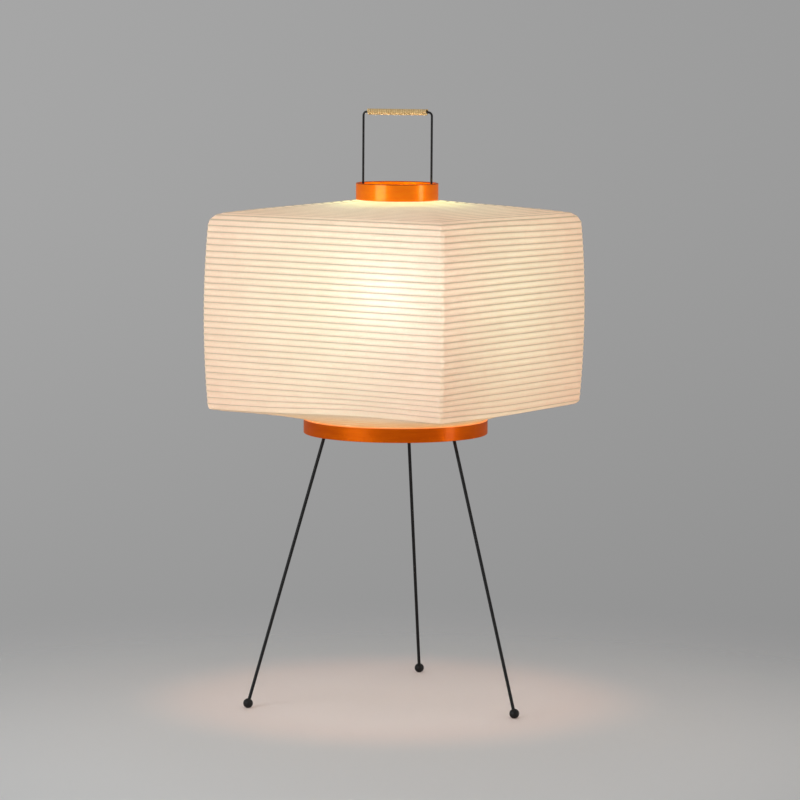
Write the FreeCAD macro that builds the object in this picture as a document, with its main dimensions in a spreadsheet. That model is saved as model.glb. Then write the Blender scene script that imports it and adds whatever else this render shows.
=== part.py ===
import FreeCAD, Part
import Sketcher
import math
import os

# A paper table lamp on three wire legs. The frame is +Z up, with the origin on the floor under the
# lamp's axis and the shade's four sides square to X and Y.

Vector = FreeCAD.Vector
Rotation = FreeCAD.Rotation
Placement = FreeCAD.Placement
UP = Vector(0, 0, 1)

# Driving dimensions, in millimetres and degrees
DIMENSIONS = {
    "overall_height": 731,
    # Feet and legs
    "foot_circle": 190,
    "foot_radius": 6,
    "foot_flat": 0.3,
    "leg_radius": 2,
    "leg_seat": 2,
    "leg_top_circle": 91,
    "leg_angle": -8,
    "glue_gap": 0.05,
    # Ring that joins the legs, and the strap across it
    "ring_base": 337,
    "ring_thickness": 3,
    "ring_inner": 84,
    "ring_outer": 97,
    "lug_width": 8,
    "lug_reach": 112.2,
    "lug_gap": 0.2,
    "strap_width": 16,
    "strap_thickness": 2.5,
    "strap_half_length": 98,
    "screw_circle": 90.5,
    "screw_radius": 2,
    "screw_clearance": 0.15,
    "screw_head_radius": 4,
    "screw_head_height": 2.4,
    "screw_nut_radius": 4.04,
    "screw_nut_height": 3.2,
    # Hoops of bent wood
    "hoop_wall": 3,
    "hoop_chamfer": 0.6,
    "bottom_hoop_base": 333,
    "bottom_hoop_height": 18,
    "bottom_hoop_radius": 113.4,
    "top_hoop_base": 620,
    "top_hoop_height": 20.5,
    "top_hoop_radius": 50.5,
    # Paper shade
    "paper": 0.5,
    "hem": 8,
    "hem_gap": 0.5,
    "hem_flat": 0.8,
    "neck_gap": 0.2,
    "rim_half": 167.9,
    "top_edge_radius": 11,
    "bottom_edge_radius": 5.5,
    "corner_radius": 5,
    "side_lean": 3.75,
    "top_slope": 8.7,
    "bottom_slope": 14.2,
    # Bamboo rib
    "rib": 1,
    "rib_loops": 24,
    "rib_margin": 8,
    "rib_gap": 0.15,
    # Wire bow and its cane grip
    "bow_angle": 18,
    "bow_half_width": 43,
    "bow_radius": 1.35,
    "bow_bend": 4.5,
    "bow_tail": 4.4,
    "bow_nut_radius": 3.175,
    "bow_nut_height": 2.4,
    "cane_radius": 1.3,
    "cane_gap": 0.1,
    "grip_loops": 24,
    "grip_half_length": 38.4,
    # Clips that ride on the bow
    "clip_base": 630,
    "clip_height": 8,
    "clip_eye_radius": 2.8,
    "clip_fit": 0.08,
    "clip_plate": 1.1,
    "clip_half_width": 5.5,
    "rivet_offset": 3.6,
    "rivet_radius": 1.1,
    "rivet_head_radius": 1.6,
    "rivet_head": 0.7,
    "rivet_depth": 2,
    # Stem and lead inlet
    "stem_radius": 5,
    "stem_bore": 3.6,
    "stem_below": 8,
    "stem_nut_radius": 8.08,
    "stem_nut_height": 4,
    "bush_bore": 3.1,
    "bush_flange_radius": 6,
    "bush_flange": 2,
    "bush_depth": 6,
    # Lampholder
    "holder_radius": 19,
    "holder_wall": 2.2,
    "holder_cap_height": 20,
    "hub_radius": 8,
    "core_height": 20,
    "core_radius": 14,
    "core_flange": 3,
    "tongue_height": 6,
    "tongue_width": 6,
    "tongue_half": 5.1,
    "brass": 0.5,
    "shell_height": 27,
    "shell_hole": 7,
    "thread_gap": 0.35,
    "sleeve_wall": 1.5,
    "sleeve_overlap": 8,
    "terminal_offset": 8,
    "terminal_radius": 1.5,
    "terminal_length": 7,
    "terminal_head_radius": 2.8,
    "terminal_head": 1.8,
    # Bulb
    "bulb_base": 438,
    "bulb_length": 105,
    "bulb_radius": 30,
    "bulb_neck": 12.4,
    "bulb_shoulder": 40,
    "glass": 0.9,
    "cap_radius": 13,
    "cap_top": 27,
    "cap_skirt": 4.2,
    "insulator_radius": 10.2,
    "button_radius": 4.5,
    "button": 1.2,
    "mount_radius": 11.3,
    "mount_rod": 2.2,
    "mount_base": 20,
    "mount_top": 62,
    "filament_radius": 0.9,
    "filament_circle": 3.3,
    "filament_length": 36,
    "filament_lean": 14,
}

doc = FreeCAD.newDocument("paper_table_lamp")
sheet = doc.addObject("Spreadsheet::Sheet", "dims")
for row, (alias, number) in enumerate(DIMENSIONS.items(), start=1):
    sheet.set(f"A{row}", alias)
    sheet.set(f"B{row}", str(number))
    sheet.setAlias(f"B{row}", alias)
doc.recompute()

subparts = []


def value(expression):
    """The number that an expression on the sheet's cells comes to."""
    return float(sheet.evalExpression(expression))


def keep(thing, label):
    """Name a finished piece and list it for export."""
    thing.Label = label
    subparts.append(thing)
    return thing


def about_axis(angle):
    """A turn about the lamp's axis, in degrees."""
    return Placement(Vector(0, 0, 0), Rotation(UP, angle))


def bind(thing, **expressions):
    """Tie a primitive's sizes to the sheet."""
    for size, expression in expressions.items():
        thing.setExpression(size, expression)
    return thing


def rod(name, radius, length, placement=None):
    """A cylinder along its own Z axis."""
    cylinder = doc.addObject("Part::Cylinder", name)
    bind(cylinder, Radius=radius, Height=length)
    cylinder.Placement = placement or Placement()
    return cylinder


def block(name, length, width, height, placement):
    """A box from its own corner."""
    box = doc.addObject("Part::Box", name)
    bind(box, Length=length, Width=width, Height=height)
    box.Placement = placement
    return box


def cut(name, base, tools):
    """One solid less others."""
    if len(tools) > 1:
        tool = doc.addObject("Part::Compound", name + "_tools")
        tool.Links = tools
    else:
        tool = tools[0]
    result = doc.addObject("Part::Cut", name)
    result.Base = base
    result.Tool = tool
    return result


def fuse(name, solids):
    """Several solids made into one."""
    result = doc.addObject("Part::MultiFuse", name)
    result.Shapes = solids
    result.Refine = True
    return result


def group(label, solids):
    """Identical fasteners, kept as separate solids of one piece."""
    compound = doc.addObject("Part::Compound", label)
    compound.Links = solids
    return keep(compound, label)


def new_body(label, angle=0):
    """A part-design body, turned about the lamp's axis."""
    body = doc.addObject("PartDesign::Body", label)
    body.Placement = about_axis(angle)
    return body


def add_sketch(body, name, role, height=None, turn=0):
    """A sketch on one of the body's origin planes, raised by an expression and turned in its plane."""
    plane = next(feature for feature in body.Origin.OriginFeatures if feature.Role == role)
    sketch = body.newObject("Sketcher::SketchObject", name)
    sketch.AttachmentSupport = [(plane, "")]
    sketch.MapMode = "FlatFace"
    sketch.AttachmentOffset = Placement(Vector(0, 0, 0), Rotation(UP, turn))
    if height:
        sketch.setExpression("AttachmentOffset.Base.z", height)
    return sketch


def pin_point(sketch, shape, end, x, y):
    """Hold a sketch point at two expressions from the sketch's origin."""
    for kind, expression in (("DistanceX", x), ("DistanceY", y)):
        number = sketch.addConstraint(
            Sketcher.Constraint(kind, -1, 1, shape, end, value(expression))
        )
        sketch.setExpression(f"Constraints[{number}]", expression)


def pin_radius(sketch, shape, expression):
    """Hold a sketch circle or arc at an expression for its radius."""
    number = sketch.addConstraint(Sketcher.Constraint("Radius", shape, value(expression)))
    sketch.setExpression(f"Constraints[{number}]", expression)


def circle(sketch, radius, x="0", y="0"):
    """A circle with its centre and radius held by expressions."""
    centre = Vector(value(x), value(y), 0)
    shape = sketch.addGeometry(Part.Circle(centre, UP, value(radius)))
    pin_point(sketch, shape, 3, x, y)
    pin_radius(sketch, shape, radius)


def arc_between(start, end, radius, side):
    """The shorter arc from start to end, bulging to the left of the way for side 1 and right for -1."""
    half = (end - start) * 0.5
    left = Vector(-half.y, half.x, 0).normalize()
    rise = radius - math.sqrt(radius**2 - half.Length**2)
    return Part.Arc(start, start + half + left * (side * rise), end)


def outline(sketch, corners):
    """A closed outline. A corner is (x, y), or (x, y, radius, side) where an arc runs on from it."""
    points = [Vector(value(corner[0]), value(corner[1]), 0) for corner in corners]
    for number, corner in enumerate(corners):
        start, end = points[number], points[(number + 1) % len(points)]
        if len(corner) == 2:
            sketch.addGeometry(Part.LineSegment(start, end))
        else:
            sketch.addGeometry(arc_between(start, end, value(corner[2]), corner[3]))
    turning = [len(corner) == 4 and corner[3] == 1 for corner in corners]
    # An arc that bulges to the left runs clockwise, so the sketcher counts its ends the other way
    first = [2 if flipped else 1 for flipped in turning]
    last = [1 if flipped else 2 for flipped in turning]
    for number in range(len(corners)):
        after = (number + 1) % len(corners)
        sketch.addConstraint(
            Sketcher.Constraint("Coincident", number, last[number], after, first[after])
        )
    for number, corner in enumerate(corners):
        pin_point(sketch, number, first[number], corner[0], corner[1])
        if len(corner) == 4:
            pin_radius(sketch, number, corner[2])


def turned(label, corners):
    """A piece turned on the lamp's axis, from its outline in radius and height."""
    body = new_body(label)
    sketch = add_sketch(body, label + "_outline", "XZ_Plane")
    outline(sketch, corners)
    turning = body.newObject("PartDesign::Revolution", label + "_turning")
    turning.Profile = sketch
    turning.ReferenceAxis = (sketch, ["V_Axis"])
    turning.Angle = 360
    return body


def pad(body, name, sketch, height):
    """A sketch raised into a solid."""
    raised = body.newObject("PartDesign::Pad", name)
    raised.Profile = sketch
    raised.setExpression("Length", height)
    return raised


# Heights that several pieces share
ring_top = "(dims.ring_base + dims.ring_thickness)"
strap_top = f"({ring_top} + dims.strap_thickness)"
bow_angle = value("dims.bow_angle")
bow_turn = about_axis(bow_angle)


# Feet and legs: a ball drilled along the leg, and a rod cut level where it meets the ring
ball_centre = "(dims.foot_radius - dims.foot_flat)"
leg_run = "(dims.foot_circle - dims.leg_top_circle)"
leg_rise = f"(dims.ring_base - {ball_centre})"
leg_length = f"sqrt({leg_run}^2 + {leg_rise}^2)"
lean = Rotation(Vector(0, 1, 0), -value(f"atan({leg_run} / {leg_rise})"))


def foot_and_leg(side, angle):
    turn = about_axis(angle)
    centre = Vector(value("dims.foot_circle"), 0, value(ball_centre))
    seat = Placement(centre + lean.multVec(UP) * value("dims.leg_seat"), lean)
    ball = doc.addObject("Part::Sphere", f"ball_{side}")
    bind(ball, Radius="dims.foot_radius")
    ball.Placement = turn.multiply(Placement(centre, Rotation()))
    socket = rod(f"ball_socket_{side}", "dims.leg_radius + dims.glue_gap", "dims.foot_radius",
                 turn.multiply(seat))
    corner = centre - Vector(1, 1, 1) * (2 * value("dims.foot_radius"))
    corner.z = -value("2 * dims.foot_radius")
    under = block(f"ball_under_{side}", "4 * dims.foot_radius", "4 * dims.foot_radius",
                  "2 * dims.foot_radius", turn.multiply(Placement(corner, Rotation())))
    keep(cut(f"foot_ball_{side}", ball, [socket, under]), f"foot_ball_{side}")
    blank = rod(f"leg_blank_{side}", "dims.leg_radius", leg_length, turn.multiply(seat))
    reach = value("dims.ring_outer")
    over = block(f"leg_over_{side}", "2 * dims.ring_outer", "2 * dims.ring_outer",
                 "dims.ring_outer", Placement(Vector(-reach, -reach, value("dims.ring_base")), Rotation()))
    keep(cut(f"leg_{side}", blank, [over]), f"leg_{side}")


leg_angle = value("dims.leg_angle")
for number, side in enumerate(("right", "back", "left")):
    foot_and_leg(side, leg_angle + 120 * number)


# Ring: a flat ring under the strap, with three lugs that carry the bottom hoop
stand_ring = new_body("stand_ring")
ring_sketch = add_sketch(stand_ring, "ring_plan", "XY_Plane", "dims.ring_base", bow_angle)
circle(ring_sketch, "dims.ring_outer")
circle(ring_sketch, "dims.ring_inner")
for side in (-1, 1):
    circle(ring_sketch, "dims.screw_radius + dims.screw_clearance", f"{side} * dims.screw_circle")
pad(stand_ring, "ring_plate", ring_sketch, "dims.ring_thickness")
lug_angle = leg_angle + 60
lug_sketch = add_sketch(stand_ring, "lug_plan", "XY_Plane", "dims.ring_base", lug_angle)
lug_root = "(dims.ring_inner + dims.ring_outer) / 2"
outline(lug_sketch, [
    (lug_root, "-dims.lug_width / 2"),
    ("dims.lug_reach", "-dims.lug_width / 2"),
    ("dims.lug_reach", "dims.lug_width / 2"),
    (lug_root, "dims.lug_width / 2"),
])
lug = pad(stand_ring, "lug", lug_sketch, "dims.ring_thickness")
lugs = stand_ring.newObject("PartDesign::PolarPattern", "lugs")
lugs.Originals = [lug]
lugs.Axis = (ring_sketch, ["N_Axis"])
lugs.Angle = 360
lugs.Occurrences = 3
stand_ring.Tip = lugs
keep(stand_ring, "stand_ring")


# Strap: a round-ended bar across the ring, drilled for the stem, the bow and its own screws
cross_strap = new_body("cross_strap", bow_angle)
strap_sketch = add_sketch(cross_strap, "strap_plan", "XY_Plane", ring_top)
strap_half = "dims.strap_width / 2"
strap_run = "(dims.strap_half_length - dims.strap_width / 2)"
outline(strap_sketch, [
    (f"-{strap_run}", f"-{strap_half}"),
    (strap_run, f"-{strap_half}", strap_half, -1),
    ("dims.strap_half_length", "0", strap_half, -1),
    (strap_run, strap_half),
    (f"-{strap_run}", strap_half, strap_half, -1),
    ("-dims.strap_half_length", "0", strap_half, -1),
])
circle(strap_sketch, "dims.stem_radius + dims.screw_clearance")
for side in (-1, 1):
    circle(strap_sketch, "dims.bow_radius + dims.screw_clearance", f"{side} * dims.bow_half_width")
    circle(strap_sketch, "dims.screw_radius + dims.screw_clearance", f"{side} * dims.screw_circle")
pad(cross_strap, "strap_plate", strap_sketch, "dims.strap_thickness")
keep(cross_strap, "cross_strap")


def on_strap(x, height):
    """A place on the strap's long axis."""
    return bow_turn.multiply(Placement(Vector(value(x), 0, value(height)), Rotation()))


def hex_nut(name, radius, height, bore, place):
    """A hexagonal nut with a plain bore."""
    blank = doc.addObject("Part::Prism", name + "_blank")
    blank.Polygon = 6
    bind(blank, Circumradius=radius, Height=height)
    blank.Placement = place
    return cut(name, blank, [rod(name + "_bore", bore, height, place)])


strap_screws, strap_nuts, bow_nuts = [], [], []
for side, name in ((-1, "left"), (1, "right")):
    screw_x = f"{side} * dims.screw_circle"
    bow_x = f"{side} * dims.bow_half_width"
    shank = rod(f"screw_shank_{name}", "dims.screw_radius",
                "dims.strap_thickness + dims.ring_thickness + dims.screw_nut_height",
                on_strap(screw_x, "dims.ring_base - dims.screw_nut_height"))
    head = rod(f"screw_head_{name}", "dims.screw_head_radius", "dims.screw_head_height",
               on_strap(screw_x, strap_top))
    strap_screws.append(fuse(f"strap_screw_{name}", [shank, head]))
    strap_nuts.append(hex_nut(f"strap_nut_{name}", "dims.screw_nut_radius", "dims.screw_nut_height",
                              "dims.screw_radius + dims.glue_gap",
                              on_strap(screw_x, "dims.ring_base - dims.screw_nut_height")))
    for level, height in (("lower", f"{ring_top} - dims.bow_nut_height"), ("upper", strap_top)):
        bow_nuts.append(hex_nut(f"bow_nut_{name}_{level}", "dims.bow_nut_radius", "dims.bow_nut_height",
                                "dims.bow_radius + dims.glue_gap", on_strap(bow_x, height)))
group("strap_screws", strap_screws)
group("strap_nuts", strap_nuts)
group("bow_nuts", bow_nuts)


# Hoops: bent-wood rings with softened rims, the lower one slotted inside for the lugs
def hoop_blank(name, base, height, radius):
    inner = f"({radius} - dims.hoop_wall)"
    top = f"({base} + {height})"
    soft = "dims.hoop_chamfer"
    return turned(name, [
        (inner, f"{base} + {soft}"),
        (f"{inner} + {soft}", base),
        (f"{radius} - {soft}", base),
        (radius, f"{base} + {soft}"),
        (radius, f"{top} - {soft}"),
        (f"{radius} - {soft}", top),
        (f"{inner} + {soft}", top),
        (inner, f"{top} - {soft}"),
    ])


bottom_blank = hoop_blank("bottom_hoop_blank", "dims.bottom_hoop_base", "dims.bottom_hoop_height",
                          "dims.bottom_hoop_radius")
slots = []
for number in range(3):
    corner = Vector(value("dims.ring_outer"), -value("dims.lug_width / 2 + dims.lug_gap"),
                    value("dims.ring_base - dims.lug_gap"))
    slots.append(block(f"lug_slot_{number}", "dims.lug_reach + dims.lug_gap - dims.ring_outer",
                       "dims.lug_width + 2 * dims.lug_gap", "dims.ring_thickness + dims.lug_gap",
                       about_axis(lug_angle + 120 * number).multiply(Placement(corner, Rotation()))))
keep(cut("bottom_hoop", bottom_blank, slots), "bottom_hoop")

top_blank = hoop_blank("top_hoop_blank", "dims.top_hoop_base", "dims.top_hoop_height",
                       "dims.top_hoop_radius")
hoop_inner = "(dims.top_hoop_radius - dims.hoop_wall)"
plate_face = f"sqrt({hoop_inner}^2 - dims.clip_half_width^2)"
plate_inner = f"({plate_face} - dims.clip_plate)"
clip_middle = "(dims.clip_base + dims.clip_height / 2)"
outward = Rotation(Vector(0, 1, 0), 90)
rivet_length = f"{hoop_inner} + dims.rivet_depth - {plate_inner}"
rivets, rivet_holes = [], []


def hoop_clip(name, angle):
    """A spring-steel clip: a plate riveted inside the hoop, and an eye that slides on the bow's wire."""
    turn = about_axis(angle)

    def at(x, y, height, pointing=Rotation()):
        return turn.multiply(Placement(Vector(value(x), value(y), value(height)), pointing))

    plate = block(f"clip_plate_{name}", "dims.clip_plate", "2 * dims.clip_half_width",
                  "dims.clip_height", at(plate_inner, "-dims.clip_half_width", "dims.clip_base"))
    web = block(f"clip_web_{name}", f"{plate_inner} - dims.bow_half_width + dims.clip_plate / 2",
                "dims.clip_plate", "dims.clip_height",
                at("dims.bow_half_width", "-dims.clip_plate / 2", "dims.clip_base"))
    wire_place = at("dims.bow_half_width", "0", "dims.clip_base")
    eye = rod(f"clip_eye_{name}", "dims.clip_eye_radius", "dims.clip_height", wire_place)
    holes = [rod(f"clip_bore_{name}", "dims.bow_radius + dims.clip_fit", "dims.clip_height", wire_place)]
    for side, end in ((-1, "front"), (1, "rear")):
        across = f"{side} * dims.rivet_offset"
        root = at(plate_inner, across, clip_middle, outward)
        back = at(f"{plate_inner} - dims.rivet_head", across, clip_middle, outward)
        tag = f"{name}_{end}"
        for use, holder in (("clip", holes), ("hoop", rivet_holes)):
            holder.append(rod(f"rivet_hole_{use}_{tag}", "dims.rivet_radius + dims.glue_gap",
                              rivet_length, root))
        rivets.append(fuse(f"rivet_{tag}", [
            rod(f"rivet_shank_{tag}", "dims.rivet_radius", rivet_length, root),
            rod(f"rivet_head_{tag}", "dims.rivet_head_radius", "dims.rivet_head", back),
        ]))
    clip_solid = fuse(f"clip_solid_{name}", [plate, web, eye])
    keep(cut(f"hoop_clip_{name}", clip_solid, holes), f"hoop_clip_{name}")


hoop_clip("right", bow_angle)
hoop_clip("left", bow_angle + 180)
keep(cut("top_hoop", top_blank, rivet_holes), "top_hoop")
group("clip_rivets", rivets)


# Shade: the skin's levels from the top hem to the bottom one, as height, half side and corner radius.
# An inset moves the skin inwards, for the paper's inner face and for the rib.
top_neck = f"({hoop_inner} - dims.hem_gap)"
bottom_neck = "(dims.bottom_hoop_radius - dims.hoop_wall - dims.hem_gap)"
top_neck_height = "(dims.top_hoop_base - dims.neck_gap)"
bottom_neck_height = "(dims.bottom_hoop_base + dims.bottom_hoop_height + dims.neck_gap)"


def edge_half(radius):
    """How far out a rounded edge's middle lies, so that the edge meets the side."""
    return f"(dims.rim_half - {radius} * cos(dims.side_lean))"


def edge_rise(radius, slope, neck):
    """How far a rounded edge's middle lies above or below the neck that its sloping face comes from."""
    face_width = f"({edge_half(radius)} + {radius} * sin({slope}) - {neck})"
    return f"({face_width} * tan({slope}) + {radius} * cos({slope}))"


top_rise = edge_rise("dims.top_edge_radius", "dims.top_slope", top_neck)
bottom_rise = edge_rise("dims.bottom_edge_radius", "dims.bottom_slope", bottom_neck)
top_edge = f"({top_neck_height} - {top_rise})"
bottom_edge = f"({bottom_neck_height} + {bottom_rise})"
side_top = f"({top_edge} + dims.top_edge_radius * sin(dims.side_lean))"
side_bottom = f"({bottom_edge} - dims.bottom_edge_radius * sin(dims.side_lean))"
side_reach = f"(({side_top} - {side_bottom}) / 2)"
side_middle = f"(({side_top} + {side_bottom}) / 2)"
side_bulge = f"({side_reach} * tan(dims.side_lean) / 2)"
shade_half = f"(dims.rim_half + {side_bulge})"
EDGE_SPANS = 2
SIDE_SPANS = 4


def edge_level(inset, centre, sense, edge_radius, slope, step):
    """A level on a rounded edge, from its sloping face at step 0 to the side at the last step."""
    share = step / EDGE_SPANS
    angle = f"(90 - {slope} - (90 - {slope} - dims.side_lean) * {share})"
    radius = f"({edge_radius} - {inset})"
    return (f"{centre} + {sense} * {radius} * sin({angle})",
            f"{edge_half(edge_radius)} + {radius} * cos({angle})",
            f"dims.corner_radius - {inset} * cos({angle})")


def side_level(inset, step):
    """A level on the swollen side, step 0 at its top."""
    share = 1 - 2 * step / SIDE_SPANS
    return (f"{side_middle} + {side_reach} * {share}",
            f"{shade_half} - {side_bulge} * {share**2} - {inset}",
            f"dims.corner_radius - {inset}")


def neck_level(inset, neck, height):
    """A nearly round level where the paper goes into a hoop."""
    return (height, f"{neck} - {inset}", f"{neck} - dims.hem_flat - {inset}")


def face_levels(inset):
    """The levels of the skin between the two hems."""
    top_drop = f"{inset} * tan(45 - dims.top_slope / 2)"
    bottom_drop = f"{inset} * tan(45 - dims.bottom_slope / 2)"
    levels = [neck_level(inset, top_neck, f"{top_neck_height} - {top_drop}")]
    for step in range(EDGE_SPANS + 1):
        levels.append(edge_level(inset, top_edge, 1, "dims.top_edge_radius", "dims.top_slope", step))
    for step in range(1, SIDE_SPANS):
        levels.append(side_level(inset, step))
    for step in reversed(range(EDGE_SPANS + 1)):
        levels.append(edge_level(inset, bottom_edge, -1, "dims.bottom_edge_radius", "dims.bottom_slope",
                                 step))
    levels.append(neck_level(inset, bottom_neck, f"{bottom_neck_height} + {bottom_drop}"))
    return levels


def skin_levels(inset, past):
    """All levels of the skin, with hems that run on by an expression past their ends."""
    top = neck_level(inset, top_neck, f"{top_neck_height} + dims.hem + {past}")
    bottom = neck_level(inset, bottom_neck, f"{bottom_neck_height} - dims.hem - {past}")
    return [top] + face_levels(inset) + [bottom]


def panel_section(body, name, level):
    """A quarter of a level: from the axis out along one diagonal, along one side and back."""
    height, half, radius = level
    sketch = add_sketch(body, name, "XY_Plane", height)
    side, bend = value(half), value(radius)
    centre = side - bend
    tip = centre + bend * math.sqrt(0.5)
    low, high = Vector(tip, -tip, 0), Vector(tip, tip, 0)
    sketch.addGeometry(Part.LineSegment(Vector(0, 0, 0), low))
    sketch.addGeometry(Part.ArcOfCircle(Part.Circle(Vector(centre, -centre, 0), UP, bend),
                                        -math.pi / 4, 0))
    sketch.addGeometry(Part.LineSegment(Vector(side, -centre, 0), Vector(side, centre, 0)))
    sketch.addGeometry(Part.ArcOfCircle(Part.Circle(Vector(centre, centre, 0), UP, bend),
                                        0, math.pi / 4))
    sketch.addGeometry(Part.LineSegment(high, Vector(0, 0, 0)))
    sketch.addConstraint([
        Sketcher.Constraint("Coincident", 0, 1, -1, 1),
        Sketcher.Constraint("Coincident", 4, 2, -1, 1),
        Sketcher.Constraint("Coincident", 0, 2, 1, 1),
        Sketcher.Constraint("Coincident", 3, 2, 4, 1),
        Sketcher.Constraint("Tangent", 1, 2, 2, 1),
        Sketcher.Constraint("Tangent", 2, 2, 3, 1),
        Sketcher.Constraint("Vertical", 2),
        Sketcher.Constraint("Angle", 0, -math.pi / 4),
        Sketcher.Constraint("Perpendicular", 0, 4),
        Sketcher.Constraint("PointOnObject", 1, 3, 0),
        Sketcher.Constraint("PointOnObject", 3, 3, 4),
        Sketcher.Constraint("Equal", 1, 3),
    ])
    pin_radius(sketch, 1, radius)
    number = sketch.addConstraint(Sketcher.Constraint("DistanceX", -1, 1, 2, 1, side))
    sketch.setExpression(f"Constraints[{number}]", half)
    return sketch


def whole_section(body, name, level):
    """A whole level: a square with rounded corners."""
    height, half, radius = level
    sketch = add_sketch(body, name, "XY_Plane", height)
    side, bend = value(half), value(radius)
    centre = side - bend
    for quarter in range(4):
        turn = Rotation(UP, 90 * quarter)
        start = turn.multVec(Vector(side, -centre, 0))
        end = turn.multVec(Vector(side, centre, 0))
        middle = turn.multVec(Vector(centre, centre, 0))
        sketch.addGeometry(Part.LineSegment(start, end))
        first = math.radians(90 * quarter)
        sketch.addGeometry(Part.ArcOfCircle(Part.Circle(middle, UP, bend), first, first + math.pi / 2))
    for quarter in range(4):
        line, bow, following = 2 * quarter, 2 * quarter + 1, (2 * quarter + 2) % 8
        sketch.addConstraint(Sketcher.Constraint("Tangent", line, 2, bow, 1))
        sketch.addConstraint(Sketcher.Constraint("Tangent", bow, 2, following, 1))
    sketch.addConstraint([
        Sketcher.Constraint("Vertical", 0),
        Sketcher.Constraint("Equal", 1, 3),
        Sketcher.Constraint("Equal", 3, 5),
        Sketcher.Constraint("Equal", 0, 2),
        Sketcher.Constraint("Symmetric", 1, 3, 5, 3, -1, 1),
    ])
    pin_radius(sketch, 1, radius)
    number = sketch.addConstraint(Sketcher.Constraint("DistanceX", -1, 1, 0, 1, side))
    sketch.setExpression(f"Constraints[{number}]", half)
    return sketch


def paper_panel(label, angle):
    """One side of the shade with its share of the top and the bottom, glued to its neighbours
    along the four corners."""
    body = new_body(label, angle)
    outer = [panel_section(body, f"{label}_out_{number}", level)
             for number, level in enumerate(skin_levels("0", "0"))]
    skin = body.newObject("PartDesign::AdditiveLoft", label + "_skin")
    skin.Profile = outer[0]
    skin.Sections = outer[1:]
    skin.Ruled = True
    inner = [whole_section(body, f"{label}_in_{number}", level)
             for number, level in enumerate(skin_levels("dims.paper", "dims.paper"))]
    hollow = body.newObject("PartDesign::SubtractiveLoft", label + "_hollow")
    hollow.Profile = inner[0]
    hollow.Sections = inner[1:]
    hollow.Ruled = True
    keep(body, label)


for number, side in enumerate(("right", "back", "left", "front")):
    paper_panel(f"paper_{side}", 90 * number)


# Wound pieces: one unbroken tube along lines and arcs
POINTS_A_LOOP = 48
LEAST_GAP = 0.4
VOLUME_SLACK = 0.03


def least_gap(points, apart, thickness):
    """The least space between stretches of a tube that are more than apart steps from each other."""
    nearest = min(
        first.distanceToPoint(second)
        for number, first in enumerate(points)
        for second in points[number + apart:number + 3 * apart]
    )
    return nearest - thickness


def wound(label, edges, section, area, loops, thickness):
    """Sweep a section along a wound path, and print its gap to itself and its volume."""
    spine = Part.Wire(edges)
    tube = spine.makePipeShell([section], True, False)
    points = spine.discretize(POINTS_A_LOOP * loops)
    gap = least_gap(points, POINTS_A_LOOP * 2 // 3, thickness)
    share = tube.Volume / (area * spine.Length)
    print(f"{label}: {loops} loops, least gap {gap:.2f} mm, volume {share:.3f} of section by length")
    if gap <= LEAST_GAP or abs(share - 1) > VOLUME_SLACK:
        raise ValueError(f"{label} is wound too tight or swept badly")
    return tube


def polygon_across(centre, along, across, radius, sides):
    """A closed polygon square to a direction."""
    third = along.cross(across)
    corners = []
    for number in range(sides):
        angle = 2 * math.pi * (number + 0.5) / sides
        corners.append(centre + across * (radius * math.cos(angle)) + third * (radius * math.sin(angle)))
    return Part.makePolygon(corners + corners[:1])


# Rib: a square splint of bamboo, one spiral from hoop to hoop just inside the paper
def rib_corner(levels, run):
    """The height, half side and corner radius at a distance along the skin."""
    for upper, lower in zip(levels, levels[1:]):
        span = math.hypot(lower[0] - upper[0], lower[1] - upper[1])
        if run <= span:
            return [a + (b - a) * run / span for a, b in zip(upper, lower)]
        run -= span
    return levels[-1]


def rib_spiral():
    half = value("dims.rib / 2")
    inset = f"(dims.paper + dims.rib * {math.sqrt(0.5)} + dims.rib_gap)"
    levels = [[value(part) for part in level] for level in face_levels(inset)]
    length = sum(math.hypot(b[0] - a[0], b[1] - a[1]) for a, b in zip(levels, levels[1:]))
    margin = value("dims.rib_margin")
    loops = int(value("dims.rib_loops"))
    corners, bends = [], []
    for quarter in range(4 * loops + 2):
        run = margin + (length - 2 * margin) * quarter / (4 * loops + 1)
        height, side, bend = rib_corner(levels, run)
        corners.append(Rotation(UP, 90 * quarter).multVec(Vector(side, side, height)))
        bends.append(bend)
    edges = []
    start = (corners[0] + corners[1]) * 0.5
    first = start
    for before, here, after, bend in zip(corners, corners[1:], corners[2:], bends[1:]):
        come = (here - before).normalize()
        leave = (after - here).normalize()
        turn = come.getAngle(leave)
        inwards = (leave - come).normalize()
        radius = bend / math.tan(turn / 2)
        middle = here + inwards * (radius / math.cos(turn / 2) - radius)
        edges.append(Part.LineSegment(start, here - come * bend).toShape())
        edges.append(Part.Arc(here - come * bend, middle, here + leave * bend).toShape())
        start = here + leave * bend
    edges.append(Part.LineSegment(start, (corners[-2] + corners[-1]) * 0.5).toShape())
    along = (corners[1] - corners[0]).normalize()
    across = along.cross(UP).normalize()
    section = polygon_across(first, along, across, half * math.sqrt(2), 4)
    tube = wound("rib_spiral", edges, section, (2 * half) ** 2, loops, 2 * half)
    feature = doc.addObject("Part::Feature", "rib_spiral")
    feature.Shape = tube
    keep(feature, "rib_spiral")


rib_spiral()


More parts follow.
